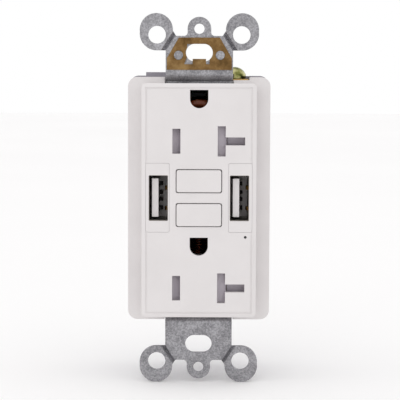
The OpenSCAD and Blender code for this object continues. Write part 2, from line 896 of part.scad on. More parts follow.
module usb_transformer() { color("#d9b64a") box([-17.4, 13, -7], [-9.6, board_y, 6]); }

// The two ports face the same way, so they are copied and not mirrored
module each_port() { for (side = [-1, 1]) at(side * usb_x, usb_z) children(); }

module usb_shells() {
    color(zinc)
    each_port() difference() {
        plate(face_y + 0.8, usb_board_y) square([shell_w, shell_h], center = true);
        plate(face_y, usb_board_y - shell_t)
            square([shell_w - 2 * shell_t, shell_h - 2 * shell_t], center = true);
    }
}

module usb_tongues() {
    color(plastic_white)
    each_port() {
        box([-1.85, -5.9, -5.45], [0, 4.6, 5.45]);
        box([-2.5, 4.6, -6.2], [2.5, usb_board_y - shell_t - 0.02, 6.2]);
    }
}

module usb_contacts() {
    color(brass)
    each_port() for (z = [-3.5, -1, 1, 3.5]) {
        box([0, -5.3, z - 0.5], [0.2, 2, z + 0.5]);
        box([0, 2, z - 0.5], [1.1, 4.6, z + 0.5]);
    }
}

module status_led() { color("#e8e6da") at(led_x, led_z) rod_y(1, 4.7, usb_board_y); }

module light_pipe() {
    color("#dfe6e4") at(led_x, led_z) {
        rod_y(0.36, face_y + 0.1, face_back + 0.1);
        rod_y(1, face_back + 0.05, 4.6);
    }
}

module case_screws() {
    color(zinc)
    both_sides() both_ends() at(case_x, case_z) {
        rod_y(case_r, 3, body_depth - 1.6);
        difference() {
            rod_y(2.1, body_depth - 1.7, body_depth - 0.3);
            translate([0, body_depth, 0]) cube([3, 1.6, 0.6], center = true);
            translate([0, body_depth, 0]) cube([0.6, 1.6, 3], center = true);
        }
    }
}

front_cover();
usb_bezels();
rear_body();
inner_frame();
mounting_strap();
ground_clip();
clip_rivets();
ground_contacts();
ground_terminal();
ground_clamp();
ground_screw();
hot_bus();
neutral_bus();
line_hot_terminal();
line_neutral_terminal();
load_hot_terminal();
load_neutral_terminal();
line_hot_clamp();
line_neutral_clamp();
load_hot_clamp();
load_neutral_clamp();
line_hot_screw();
line_neutral_screw();
load_hot_screw();
load_neutral_screw();
shutter_caps();
shutter_upper();
shutter_lower();
bar_shutter_upper();
bar_shutter_lower();
shutter_spring_upper();
shutter_spring_lower();
test_button();
test_spring();
test_contact();
reset_button();
reset_pin();
reset_spring();
latch_carrier();
latch_plate();
contact_arm_hot();
contact_arm_neutral();
coil_conductors();
coil_housing();
sense_coil();
neutral_coil();
solenoid_bobbin();
solenoid_winding();
solenoid_plunger();
plunger_spring();
main_board();
board_parts();
usb_board();
usb_transformer();
usb_shells();
usb_tongues();
usb_contacts();
status_led();
light_pipe();
case_screws();
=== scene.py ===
import math

import bmesh
import bpy
from mathutils import Matrix, Vector


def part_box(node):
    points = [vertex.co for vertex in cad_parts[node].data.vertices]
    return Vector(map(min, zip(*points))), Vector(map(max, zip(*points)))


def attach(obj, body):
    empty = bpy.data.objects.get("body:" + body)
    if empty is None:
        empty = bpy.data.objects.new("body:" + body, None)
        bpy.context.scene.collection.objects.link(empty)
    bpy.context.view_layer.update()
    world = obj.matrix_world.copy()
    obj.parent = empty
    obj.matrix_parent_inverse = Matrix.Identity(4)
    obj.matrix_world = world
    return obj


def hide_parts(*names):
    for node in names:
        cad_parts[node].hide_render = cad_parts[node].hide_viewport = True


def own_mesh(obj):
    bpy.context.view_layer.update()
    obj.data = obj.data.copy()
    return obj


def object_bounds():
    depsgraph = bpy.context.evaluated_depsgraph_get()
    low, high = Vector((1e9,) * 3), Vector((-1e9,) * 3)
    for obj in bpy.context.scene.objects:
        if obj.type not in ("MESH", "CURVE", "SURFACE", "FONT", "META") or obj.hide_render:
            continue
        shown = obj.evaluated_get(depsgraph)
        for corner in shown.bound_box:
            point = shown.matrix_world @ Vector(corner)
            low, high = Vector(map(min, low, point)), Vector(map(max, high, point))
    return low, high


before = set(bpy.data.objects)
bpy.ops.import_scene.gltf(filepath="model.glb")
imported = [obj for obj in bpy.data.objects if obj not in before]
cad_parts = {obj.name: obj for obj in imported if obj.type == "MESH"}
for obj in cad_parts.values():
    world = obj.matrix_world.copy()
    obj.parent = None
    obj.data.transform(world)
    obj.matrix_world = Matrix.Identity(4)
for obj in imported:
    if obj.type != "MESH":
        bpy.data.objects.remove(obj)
cad_low, cad_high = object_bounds()


# ---- Rear body and shutters ----
# The rear body closes the device from behind: an open box moulded in grey glass-filled nylon.
# The trays and the sliding shutters behind the sockets are smaller mouldings in paler acetal.

MM = 0.001


def colour(hex_value):
    """An sRGB hex value as the linear colour that a shader takes."""
    channels = [int(hex_value[i:i + 2], 16) / 255 for i in (1, 3, 5)]
    return (*[c / 12.92 if c <= 0.04045 else ((c + 0.055) / 1.055) ** 2.4 for c in channels], 1)


def add(tree, kind, links=(), stops=(), **settings):
    """Adds a node to a material. links maps its inputs to other nodes' outputs or to constants, and
    stops are the places and colours of a ramp."""
    node = tree.nodes.new("ShaderNode" + kind)
    for name, value in settings.items():
        setattr(node, name, value)
    for name, value in dict(links).items():
        if isinstance(value, bpy.types.NodeSocket):
            tree.links.new(value, node.inputs[name])
        else:
            node.inputs[name].default_value = value
    for i, (at, hex_value) in enumerate(stops):
        if i == len(node.color_ramp.elements):
            node.color_ramp.elements.new(at)
        node.color_ramp.elements[i].position = at
        node.color_ramp.elements[i].color = colour(hex_value)
    return node


def start_material(name, **constants):
    """A new material with its tree, its shader and the object's own coordinates."""
    material = bpy.data.materials.new(name)
    material.use_nodes = True
    tree = material.node_tree
    shader = tree.nodes["Principled BSDF"]
    for socket, value in constants.items():
        shader.inputs[socket.replace("_", " ")].default_value = value
    place = add(tree, "TexCoord").outputs["Object"]
    return material, tree, shader, place


def lumps(place, size, detail=3.0, rough=0.5):
    """The inputs of a noise whose lumps are about size millimetres across."""
    return {"Vector": place, "Scale": 1 / (size * MM), "Detail": detail, "Roughness": rough}


def drive(tree, shader, tone, gloss, relief):
    """Drives a shader by patterns: tone is a pattern and its colour stops, gloss is a pattern, the
    range of it to use and the roughness at each end, and relief is a pattern and its millimetres."""
    pattern, stops = tone
    shown = add(tree, "ValToRGB", {"Fac": pattern}, stops).outputs["Color"]
    tree.links.new(shown, shader.inputs["Base Color"])
    names = ("Value", "From Min", "From Max", "To Min", "To Max")
    spread = add(tree, "MapRange", zip(names, gloss)).outputs["Result"]
    tree.links.new(spread, shader.inputs["Roughness"])
    pattern, depth = relief
    raised = add(tree, "Bump", {"Height": pattern, "Distance": depth * MM}).outputs["Normal"]
    tree.links.new(raised, shader.inputs["Normal"])


def dress(material, *nodes):
    """Gives CAD nodes a material in place of the one they were packed with."""
    for name in nodes:
        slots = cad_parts[name].data.materials
        slots.clear()
        slots.append(material)


def soften(width, *nodes, segments=2, sharp=32):
    """Rounds the sharp edges of CAD nodes by width millimetres, as a mould or a press leaves them."""
    for name in nodes:
        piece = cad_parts[name]
        weld = piece.modifiers.new("one_skin", "WELD")
        weld.merge_threshold = 0.002 * MM
        flat = piece.modifiers.new("flat_faces", "DECIMATE")
        flat.decimate_type = "DISSOLVE"
        flat.angle_limit = math.radians(0.5)
        edge = piece.modifiers.new("eased_edges", "BEVEL")
        edge.width = width * MM
        edge.segments = segments
        edge.limit_method = "ANGLE"
        edge.angle_limit = math.radians(sharp)
        edge.miter_outer = "MITER_ARC"
        shade = piece.modifiers.new("even_shading", "WEIGHTED_NORMAL")
        shade.weight = 90


def moulded_plastic(name, dark, light, rough, grain=0.25, depth=0.004):
    """Injection-moulded thermoplastic: one body colour that drifts a little with the flow of the
    melt, and a fine spark-eroded texture from the mould that breaks up its gloss."""
    material, tree, shader, place = start_material(name, IOR=1.52)
    drift = add(tree, "TexNoise", lumps(place, 9.0)).outputs["Fac"]
    texture = add(tree, "TexNoise", lumps(place, grain, detail=2)).outputs["Fac"]
    drive(tree, shader, (drift, [(0.35, dark), (0.65, light)]),
          (texture, 0.3, 0.7, rough - 0.06, rough + 0.06), (texture, depth))
    return material


grey_nylon = moulded_plastic("moulded_grey_nylon", "#95919a", "#9b979f", 0.5)
pale_acetal = moulded_plastic("moulded_pale_acetal", "#aea7af", "#b9b2ba", 0.42)
dress(grey_nylon, "rear_body")
dress(pale_acetal, "shutter_caps", "shutter_upper", "shutter_lower")
dress(pale_acetal, "bar_shutter_upper", "bar_shutter_lower")
soften(0.25, "rear_body", segments=3)


# ---- Inner frame and latch ----
# A charcoal nylon frame holds the mechanism against the strap, with the coil housing and the bobbin.
# The latch carrier that lifts the contact arms is moulded in oxide red, so it shows when it moves.

charcoal_nylon = moulded_plastic("moulded_charcoal_nylon", "#3d4149", "#4a4f58", 0.5)
oxide_red_nylon = moulded_plastic("moulded_oxide_red_nylon", "#75352b", "#823f33", 0.45)
dress(charcoal_nylon, "inner_frame", "coil_housing", "solenoid_bobbin")
dress(oxide_red_nylon, "latch_carrier")
soften(0.15, "latch_carrier")


# ---- Mounting strap ----
# The steel bar that carries the outlet: blanked and bent from 1.2 mm sheet, then zinc plated.
# Its break-off ears are scored, and tumbling before plating leaves its edges rounded and bright.

def zinc_plated_steel(name, dark, middle, light, rough=0.42):
    """Zinc over steel, clear passivated. The crystals of the plating give a fine even mottle,
    and handling leaves broader dull blooms."""
    material, tree, shader, place = start_material(name, Metallic=1.0)
    crystals = add(tree, "TexNoise", lumps(place, 0.45, detail=4, rough=0.55)).outputs["Fac"]
    blooms = add(tree, "TexNoise", lumps(place, 4.0)).outputs["Fac"]
    both = add(tree, "Mix", {0: 0.35, 2: crystals, 3: blooms}).outputs[0]
    drive(tree, shader, (both, [(0.36, dark), (0.5, middle), (0.64, light)]),
          (both, 0.38, 0.62, rough + 0.1, rough - 0.1), (crystals, 0.015))
    return material


strap_zinc = zinc_plated_steel("zinc_plated_strap_steel", "#7d7c81", "#979699", "#b2b1b6")
dress(strap_zinc, "mounting_strap", "clip_rivets")
soften(0.3, "mounting_strap", segments=3)
soften(0.28, "clip_rivets", segments=4)


# ---- Self-grounding clip ----
# A leaf of 0.5 mm half-hard brass, riveted to the strap, whose tongue grips the wall screw.
# It is blanked bare, so it has gone brown and uneven from handling.

def rolled_brass(name, dark, middle, light, rough=0.4):
    """Cartridge brass, rolled and blanked: golden where it is rubbed and brown where it has darkened,
    with faint rolling lines along Z that are drawn coarser than the real ones so that they show."""
    material, tree, shader, place = start_material(name, Metallic=1.0)
    stains = add(tree, "TexNoise", lumps(place, 3.2, detail=6, rough=0.62)).outputs["Fac"]
    along = add(tree, "Mapping", {"Vector": place, "Scale": (6.0, 6.0, 1.0)}).outputs["Vector"]
    lines = add(tree, "TexNoise", lumps(along, 2.0, detail=4)).outputs["Fac"]
    drive(tree, shader, (stains, [(0.32, dark), (0.5, middle), (0.68, light)]),
          (stains, 0.35, 0.65, rough + 0.1, rough - 0.1), (lines, 0.01))
    return material


clip_brass = rolled_brass("tarnished_clip_brass", "#614a2c", "#7c603c", "#957950")
dress(clip_brass, "ground_clip")
soften(0.1, "ground_clip")


# ---- Ground path, bus bars and terminals ----
# The live and ground parts are blanked from brass strip and folded, bright because they are enclosed.
# The neutral terminals are the same strip plated with nickel, which tells them from the hot ones.

strip_brass = rolled_brass("rolled_strip_brass", "#a07f45", "#b8955a", "#cfb077", rough=0.32)
dress(strip_brass, "ground_terminal", "ground_clamp", "hot_bus", "neutral_bus")
contact_bronze = rolled_brass("oxidised_contact_bronze", "#5c4e3f", "#6d5d4b", "#7f6e5a", rough=0.5)
dress(contact_bronze, "ground_contacts")
dress(strip_brass, "line_hot_terminal", "load_hot_terminal", "line_hot_clamp", "load_hot_clamp")
dress(strip_brass, "test_contact", "contact_arm_hot", "contact_arm_neutral", "coil_conductors")
nickel = zinc_plated_steel("nickel_plated_brass", "#a9a59b", "#b4b0a6", "#beb9af", rough=0.3)
dress(nickel, "line_neutral_terminal", "load_neutral_terminal", "line_neutral_clamp", "load_neutral_clamp")
soften(0.1, "ground_contacts", "ground_terminal", "ground_clamp")
for side in ("hot", "neutral"):
    soften(0.12, f"line_{side}_terminal", f"load_{side}_terminal", f"line_{side}_clamp", f"load_{side}_clamp")


# ---- Terminal screws ----
# Four cold-headed screws with a combined slot and cross, rolled thread and a flat broad head.
# They turn in the clamp plates: brass coloured on the hot side and silver on the neutral side.

MERGE_GAP = 0.001 * MM


def finish_piece(name, maker, material, body, slot, *nodes, sharp=32):
    """Turns a finished bmesh into a piece that rides on a body and stands for CAD nodes. Edges
    sharper than sharp degrees stay crisp."""
    bmesh.ops.remove_doubles(maker, verts=maker.verts, dist=MERGE_GAP)
    bmesh.ops.dissolve_degenerate(maker, edges=maker.edges, dist=MERGE_GAP)
    bmesh.ops.recalc_face_normals(maker, faces=maker.faces)
    for face in maker.faces:
        face.smooth = True
    mesh = bpy.data.meshes.new(name)
    maker.to_mesh(mesh)
    maker.free()
    mesh.set_sharp_from_angle(angle=math.radians(sharp))
    mesh.materials.append(material)
    piece = bpy.data.objects.new(name, mesh)
    bpy.context.scene.collection.objects.link(piece)
    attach(piece, body)
    if nodes:
        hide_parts(*nodes)
    return piece


def turn(maker, outline, steps=40):
    """Turns an outline of (radius, height) points in millimetres about Z, as on a lathe."""
    points = [maker.verts.new((radius * MM, 0, height * MM)) for radius, height in outline]
    lines = [maker.edges.new(pair) for pair in zip(points, points[1:])]
    bmesh.ops.spin(maker, geom=points + lines, cent=(0, 0, 0), axis=(0, 0, 1), angle=2 * math.pi,
                   steps=steps, use_merge=True)
    bmesh.ops.remove_doubles(maker, verts=maker.verts, dist=MERGE_GAP)


def arc_points(centre_r, centre_z, radius, start, end, count=6):
    """Points in (radius, height) along an arc from start to end degrees."""
    angles = [math.radians(start + (end - start) * i / count) for i in range(count + 1)]
    return [(centre_r + radius * math.cos(a), centre_z + radius * math.sin(a)) for a in angles]


def sink(maker, top, depth, *boxes):
    """Presses recesses into the part of a head above top, down to depth below it. Each box is its
    half length in X and in Y."""
    for half_x, half_y in boxes:
        for axis, half in (((1, 0, 0), half_x), ((0, 1, 0), half_y)):
            for sign in (-1, 1):
                everything = maker.verts[:] + maker.edges[:] + maker.faces[:]
                bmesh.ops.bisect_plane(maker, geom=everything, dist=0.1 * MERGE_GAP,
                                       plane_co=Vector(axis) * sign * half * MM, plane_no=axis)
    lid = []
    for face in maker.faces:
        at = face.calc_center_median() / MM
        if at.z > top and any(abs(at.x) < half_x and abs(at.y) < half_y for half_x, half_y in boxes):
            lid.append(face)
    raised = bmesh.ops.extrude_face_region(maker, geom=lid)
    bmesh.ops.delete(maker, geom=lid, context="FACES")
    for vert in [v for v in raised["geom"] if isinstance(v, bmesh.types.BMVert)]:
        vert.co.z = (top - depth) * MM


def threaded(radius, start, end, pitch):
    """Outline of a thread from start down to end, drawn as rings, and of the blunt point under it."""
    turns = int((start - end) / pitch)
    root = radius - 0.35 * pitch
    outline = []
    for i in range(turns):
        z = start - i * pitch
        outline += [(root, z - 0.1 * pitch), (radius, z - 0.45 * pitch), (radius, z - 0.6 * pitch)]
    return outline + [(root, end + 0.3), (root - 0.5, end), (0, end)]


def screw_maker(head_r, head_h, shank_r, length, pitch, crown, recess_depth, *recess):
    """A screw along Z whose head sits on Z 0: a rim with eased edges, a top that rises by crown,
    the recess in it, and a thread below."""
    eased = 0.15
    ball_r = (head_r ** 2 + crown ** 2) / (2 * crown)
    rim = math.degrees(math.asin((head_r - eased) / ball_r))
    outline = arc_points(0, head_h - ball_r, ball_r, 90, 90 - rim, 8)
    outline += [(head_r, outline[-1][1] - eased), (head_r, eased), (head_r - eased, 0), (shank_r, 0)]
    outline += threaded(shank_r, 0, -length, pitch)
    maker = bmesh.new()
    turn(maker, outline)
    sink(maker, head_h - crown - 0.1, recess_depth, *recess)
    return maker


SCREW_PITCH = 0.794
TERMINAL_SHANK_R = 1.9
TERMINAL_CROWN = 0.35
TERMINAL_RECESS = 0.7
TERMINAL_SLOT = (2.6, 0.45)
TERMINAL_CROSS = (0.45, 1.7)
screw_brass = rolled_brass("bright_screw_brass", "#a5823f", "#bd9850", "#d2b271", rough=0.28)
for line in ("line", "load"):
    for side, metal, slot in (("hot", screw_brass, "brass"), ("neutral", nickel, "nickel_screw")):
        name = f"{line}_{side}_screw"
        low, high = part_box(name)
        clamp_low, clamp_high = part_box(f"{line}_{side}_clamp")
        outwards = 1 if side == "neutral" else -1
        seat = clamp_high.x if side == "neutral" else clamp_low.x
        head_h = (max(abs(low.x), abs(high.x)) - abs(seat)) / MM
        head_r = (high.z - low.z) / 2 / MM
        shank = (abs(seat) - min(abs(low.x), abs(high.x))) / MM
        maker = screw_maker(head_r, head_h, TERMINAL_SHANK_R, shank, SCREW_PITCH, TERMINAL_CROWN,
                            TERMINAL_RECESS, TERMINAL_SLOT, TERMINAL_CROSS)
        lean = Matrix.Rotation(outwards * math.pi / 2, 4, "Y")
        place = Matrix.Translation((seat, (low.y + high.y) / 2, (low.z + high.z) / 2))
        bmesh.ops.transform(maker, matrix=place @ lean, verts=maker.verts)
        finish_piece(f"{name}_turned", maker, metal, name, slot, name)


# ---- Ground screw ----
# A slotted screw with a high domed head on the upper end of the outlet, headed from steel wire.
# Zinc plating with a green passivation marks it as the ground, and leaves it glossy.

def green_zinc():
    """Zinc with a green passivation: clear and glossy, in random patches from dark olive to pale straw
    yellow. The olive and straw tones are the passivation's own, and the near-black and pale ends are painted
    dark and bright reflections.
    """
    material, tree, shader, place = start_material("green_zinc_with_painted_reflection", Metallic=1.0)
    drift = add(tree, "TexNoise", lumps(place, 2.6, detail=2)).outputs["Fac"]
    # The darkest and palest of these stops are painted reflections.
    stops = [(0.36, "#3f4423"), (0.48, "#85854c"), (0.62, "#c2bd8c")]
    drive(tree, shader, (drift, stops), (drift, 0.3, 0.7, 0.1, 0.2), (drift, 0.02))
    return material


GROUND_SHANK_R = 1.85
GROUND_CROWN = 2.3
GROUND_RECESS = 0.6
GROUND_SLOT = (2.4, 0.45)
low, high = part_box("ground_screw")
seat_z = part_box("ground_clamp")[1].z
head_r = (high.x - low.x) / 2 / MM
maker = screw_maker(head_r, (high.z - seat_z) / MM, GROUND_SHANK_R, (seat_z - low.z) / MM,
                    SCREW_PITCH, GROUND_CROWN, GROUND_RECESS, GROUND_SLOT)
place = Matrix.Translation(((low.x + high.x) / 2, (low.y + high.y) / 2, seat_z))
bmesh.ops.transform(maker, matrix=place, verts=maker.verts)
finish_piece("ground_screw_domed", maker, green_zinc(), "ground_screw", "green_screw", "ground_screw")


# ---- Case screws ----
# Four cross-recessed pan-head screws in the corners of the rear body, zinc plated.
# They pass through the strap side and clamp the front cover to the body.

screw_zinc = zinc_plated_steel("zinc_plated_screw_steel", "#8c8b90", "#a6a5ab", "#bdbcc2", rough=0.32)
CASE_HEAD_R = 2.1
CASE_HEAD_H = 1.4
CASE_SHANK_R = 1.2
CASE_PITCH = 0.9
CASE_CROWN = 0.45
CASE_RECESS = 0.5
CASE_CROSS = ((1.3, 0.28), (0.28, 1.3))
low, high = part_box("case_screws")
four = bmesh.new()
for x in (low.x + CASE_HEAD_R * MM, high.x - CASE_HEAD_R * MM):
    for z in (low.z + CASE_HEAD_R * MM, high.z - CASE_HEAD_R * MM):
        seat_y = high.y - CASE_HEAD_H * MM
        one = screw_maker(CASE_HEAD_R, CASE_HEAD_H, CASE_SHANK_R, (seat_y - low.y) / MM, CASE_PITCH,
                          CASE_CROWN, CASE_RECESS, *CASE_CROSS)
        place = Matrix.Translation((x, seat_y, z)) @ Matrix.Rotation(-math.pi / 2, 4, "X")
        bmesh.ops.transform(one, matrix=place, verts=one.verts)
        loose = bpy.data.meshes.new("one_case_screw")
        one.to_mesh(loose)
        one.free()
        four.from_mesh(loose)
        bpy.data.meshes.remove(loose)
finish_piece("case_screws_threaded", four, screw_zinc, "root", "zinc_steel", "case_screws")


# ---- Springs ----
# Compression springs coiled from music wire: two under the buttons, two behind the shutters and
# one on the solenoid's plunger.

def spring_wire():
    """Drawn music wire, oil tempered: dark grey with a soft gloss and faint draw marks."""
    material, tree, shader, place = start_material("drawn_music_wire", Metallic=1.0)
    marks = add(tree, "TexNoise", lumps(place, 0.5, detail=4)).outputs["Fac"]
    drive(tree, shader, (marks, [(0.35, "#77787d"), (0.65, "#a2a3a8")]),
          (marks, 0.3, 0.7, 0.25, 0.42), (marks, 0.004))
    return material


def wind_spring(maker, coil_r, wire_r, length, turns):
    """A coil along Z from Z 0 to length, with a closed turn at each end."""
    per_turn = 18
    section = bmesh.ops.create_circle(maker, segments=8, radius=wire_r * MM)["verts"]
    place = Matrix.Translation((coil_r * MM, 0, wire_r * MM)) @ Matrix.Rotation(math.pi / 2, 4, "X")
    bmesh.ops.transform(maker, matrix=place, verts=section)
    ring = section + list({edge for vert in section for edge in vert.link_edges})
    closed = 2 * wire_r * MM
    open_rise = (length * MM - 2 * wire_r * MM) - 2 * closed
    for rise, count in ((closed, 1), (open_rise, turns - 2), (closed, 1)):
        steps = int(per_turn * count)
        spun = bmesh.ops.spin(maker, geom=ring, cent=(0, 0, 0), axis=(0, 0, 1), steps=steps,
                              angle=2 * math.pi * count, dvec=(0, 0, rise / steps))
        ring = spun["geom_last"]
    bmesh.ops.holes_fill(maker, edges=maker.edges, sides=8)


# Each spring: the joint that squeezes it, its coil radius, wire radius and turns, how it leans
# from Z, its direction, and whether its far end is the held one.
wire = spring_wire()
TO_Y = Matrix.Rotation(-math.pi / 2, 4, "X")
TO_X = Matrix.Rotation(math.pi / 2, 4, "Y")
springs = [
    ("reset_spring", "reset_press", 2.5, 0.25, 6, TO_Y, (0, 1, 0), True),
    ("test_spring", "test_press", 1.8, 0.2, 5, TO_Y, (0, 1, 0), True),
    ("shutter_spring_upper", "shutter_upper_slide", 0.6, 0.09, 3, TO_X, (1, 0, 0), False),
    ("shutter_spring_lower", "shutter_lower_slide", 0.6, 0.09, 3, TO_X, (1, 0, 0), False),
    ("plunger_spring", "plunger_stroke", 2.4, 0.2, 4, Matrix.Identity(4), (0, 0, 1), True),
]
for name, joint, coil_r, wire_r, turns, lean, axis, held_high in springs:
    low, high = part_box(name)
    along = Vector(axis)
    length = (high - low).dot(along)
    middle = (low + high) / 2
    maker = bmesh.new()
    wind_spring(maker, coil_r, wire_r, length / MM, turns)
    place = Matrix.Translation(middle - along * length / 2) @ lean
    bmesh.ops.transform(maker, matrix=place, verts=maker.verts)
    coil = finish_piece(f"{name}_wound", maker, wire, "root", "spring_steel", name, sharp=60)
    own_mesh(coil)
dress(screw_zinc, "reset_pin", "latch_plate", "solenoid_plunger")
soften(0.1, "latch_plate")


# ---- Sensing coils and solenoid ----
# Two toroids sense the leak: enamelled copper wire wound round ring cores inside the housing.
# The solenoid that trips the latch is the same kind of wire, wound in layers on its bobbin.

def enamelled_copper():
    """Magnet wire: copper seen through clear amber enamel, so it is deep red-brown and glossy."""
    material, tree, shader, place = start_material("enamelled_copper_wire", Metallic=1.0, Coat_Weight=0.7)
    shade = add(tree, "TexNoise", lumps(place, 1.4, detail=4)).outputs["Fac"]
    drive(tree, shader, (shade, [(0.35, "#7b3317"), (0.65, "#a8542b")]),
          (shade, 0.3, 0.7, 0.26, 0.38), (shade, 0.01))
    return material


copper_wire = enamelled_copper()
# Each ring's section is a squared oval, and every second step round it is drawn in by a wire's
# radius, so the turns stand out as ribs.
TOROID_TURNS = 60
SQUARENESS = 0.35
TOROID_BORE = 3.5
WINDING_WIRE_R = 0.2
for name in ("sense_coil", "neutral_coil"):
    low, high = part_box(name)
    outer_r = (high.x - low.x) / 2 / MM
    half_r = (outer_r - TOROID_BORE) / 2 - WINDING_WIRE_R / 2
    half_y = (high.y - low.y) / 2 / MM - WINDING_WIRE_R / 2
    centre_r = (outer_r + TOROID_BORE) / 2
    maker = bmesh.new()
    section = bmesh.ops.create_circle(maker, segments=24, radius=1.0)["verts"]
    for vert in section:
        angle = math.atan2(vert.co.y, vert.co.x)
        wide = math.copysign(abs(math.cos(angle)) ** SQUARENESS, math.cos(angle)) * half_r
        tall = math.copysign(abs(math.sin(angle)) ** SQUARENESS, math.sin(angle)) * half_y
        vert.co = Vector(((centre_r + wide) * MM, tall * MM, 0))
    ring = section + list({edge for vert in section for edge in vert.link_edges})
    bmesh.ops.spin(maker, geom=ring, cent=(0, 0, 0), axis=(0, 1, 0), angle=2 * math.pi,
                   steps=2 * TOROID_TURNS, use_merge=True)
    for vert in maker.verts:
        turn_number = round(math.atan2(vert.co.z, vert.co.x) / (math.pi / TOROID_TURNS))
        ring_centre = Vector((vert.co.x, 0, vert.co.z)).normalized() * centre_r * MM
        if turn_number % 2:
            vert.co += (ring_centre - vert.co).normalized() * WINDING_WIRE_R * MM
    bmesh.ops.transform(maker, matrix=Matrix.Translation((low + high) / 2), verts=maker.verts)
    finish_piece(f"{name}_wound", maker, copper_wire, "root", "copper_winding", name, sharp=80)

low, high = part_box("solenoid_winding")
middle = (low + high) / 2
wound_r = min(high.x - low.x, high.y - low.y) / 2 / MM
BOBBIN_R = 3.05
WINDING_PITCH = 0.5
turns = int((high.z - low.z) / MM / WINDING_PITCH)
outline = [(BOBBIN_R, 0)]
for i in range(turns):
    outline += arc_points(wound_r - WINDING_PITCH / 2, (i + 0.5) * WINDING_PITCH, WINDING_PITCH / 2,
                          -80, 80, 4)
outline.append((BOBBIN_R, turns * WINDING_PITCH))
maker = bmesh.new()
turn(maker, outline + outline[:1])
plunger_low, plunger_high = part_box("solenoid_plunger")
place = Matrix.Translation((middle.x, (plunger_low.y + plunger_high.y) / 2, low.z))
bmesh.ops.transform(maker, matrix=place, verts=maker.verts)
finish_piece("solenoid_winding_layered", maker, copper_wire, "root", "copper_winding",
             "solenoid_winding", sharp=80)


# ---- Circuit boards and their parts ----
# Two epoxy-glass boards, etched and covered with green solder mask, with the parts soldered through.
# The larger parts are dipped in blue epoxy, and the transformer is a ferrite core wrapped in tape.

def solder_mask():
    """Green solder mask over etched copper: glossy, paler where a track runs under it. The tracks
    follow a grid of 1.27 mm, half the pitch of the parts' legs."""
    material, tree, shader, place = start_material("solder_mask_on_epoxy_glass", IOR=1.5)
    flat = add(tree, "Mapping", {"Vector": place, "Rotation": (math.pi / 2, 0, 0)}).outputs["Vector"]
    links = {"Vector": flat, "Scale": 1 / (6 * 1.27 * MM), "Mortar Size": 0.03, "Mortar Smooth": 0.1}
    tracks = add(tree, "TexBrick", links).outputs["Fac"]
    pooling = add(tree, "TexNoise", lumps(place, 2.0)).outputs["Fac"]
    drive(tree, shader, (tracks, [(0.0, "#215e36"), (1.0, "#3d8a55")]),
          (pooling, 0.3, 0.7, 0.22, 0.34), (tracks, 0.03))
    return material


def dipped_epoxy():
    """A dipped epoxy coat: deep blue and glossy, with the slight orange peel of a thick dip."""
    material, tree, shader, place = start_material("dipped_blue_epoxy", IOR=1.55)
    peel = add(tree, "TexNoise", lumps(place, 0.9, detail=2)).outputs["Fac"]
    drive(tree, shader, (peel, [(0.35, "#1b2c5c"), (0.65, "#2a4180")]),
          (peel, 0.3, 0.7, 0.18, 0.3), (peel, 0.03))
    return material


def wound_tape():
    """Polyester tape wound over the coil: amber film whose overlaps show as fine darker lines."""
    material, tree, shader, place = start_material("wound_polyester_tape", IOR=1.6)
    turned = add(tree, "Mapping", {"Vector": place, "Rotation": (math.pi / 2, 0, 0)}).outputs["Vector"]
    links = {"Vector": turned, "Scale": 1 / (6.0 * MM), "Distortion": 0.4, "Detail": 2.0}
    laps = add(tree, "TexWave", links).outputs["Fac"]
    drive(tree, shader, (laps, [(0.0, "#b5892a"), (0.25, "#d3a93e"), (1.0, "#dcb850")]),
          (laps, 0, 1, 0.38, 0.22), (laps, 0.05))
    return material


def sintered_ferrite():
    """Sintered ferrite: near-black, dense and matt, with a fine grain from pressing."""
    material, tree, shader, place = start_material("sintered_ferrite", IOR=1.9)
    grain = add(tree, "TexNoise", lumps(place, 0.3, detail=4)).outputs["Fac"]
    drive(tree, shader, (grain, [(0.35, "#232326"), (0.65, "#38383b")]),
          (grain, 0.3, 0.7, 0.5, 0.7), (grain, 0.02))
    return material


def rounded_block(maker, low, high, radius):
    """A block between two corners with its edges rounded by radius millimetres."""
    cube = bmesh.ops.create_cube(maker, size=1.0)["verts"]
    size = Vector(high) - Vector(low)
    place = Matrix.Translation((Vector(low) + Vector(high)) / 2) @ Matrix.Diagonal((*size, 1))
    bmesh.ops.transform(maker, matrix=place, verts=cube)
    edges = list({edge for vert in cube for edge in vert.link_edges})
    bmesh.ops.bevel(maker, geom=edges, offset=radius * MM, offset_type="OFFSET", affect="EDGES",
                    segments=3, profile=0.5, material=-1)


dress(solder_mask(), "main_board", "usb_board")
soften(0.1, "main_board", "usb_board")
dress(dipped_epoxy(), "board_parts")
soften(0.3, "board_parts", segments=3)

low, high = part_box("usb_transformer")
limb = (high.z - low.z) * 0.2
inset_x = (high.x - low.x) * 0.14
CORE_EDGE_R = 0.4
COIL_EDGE_R = 1.0
COIL_BACK_GAP = 1.2 * MM
core = bmesh.new()
left = low.x + inset_x
right = high.x - inset_x
rounded_block(core, (left, low.y, low.z), (right, high.y, low.z + limb), CORE_EDGE_R)
rounded_block(core, (left, low.y, high.z - limb), (right, high.y, high.z), CORE_EDGE_R)
rounded_block(core, (left, low.y, low.z + limb / 2), (right, low.y + limb, high.z - limb / 2),
              CORE_EDGE_R)
finish_piece("usb_transformer_core", core, sintered_ferrite(), "root", "component_body", "usb_transformer")
coil = bmesh.new()
rounded_block(coil, (low.x, low.y + limb * 1.15, low.z + limb * 1.2),
              (high.x, high.y - COIL_BACK_GAP, high.z - limb * 1.2), COIL_EDGE_R)
finish_piece("usb_transformer_coil", coil, wound_tape(), "root", "transformer_tape")
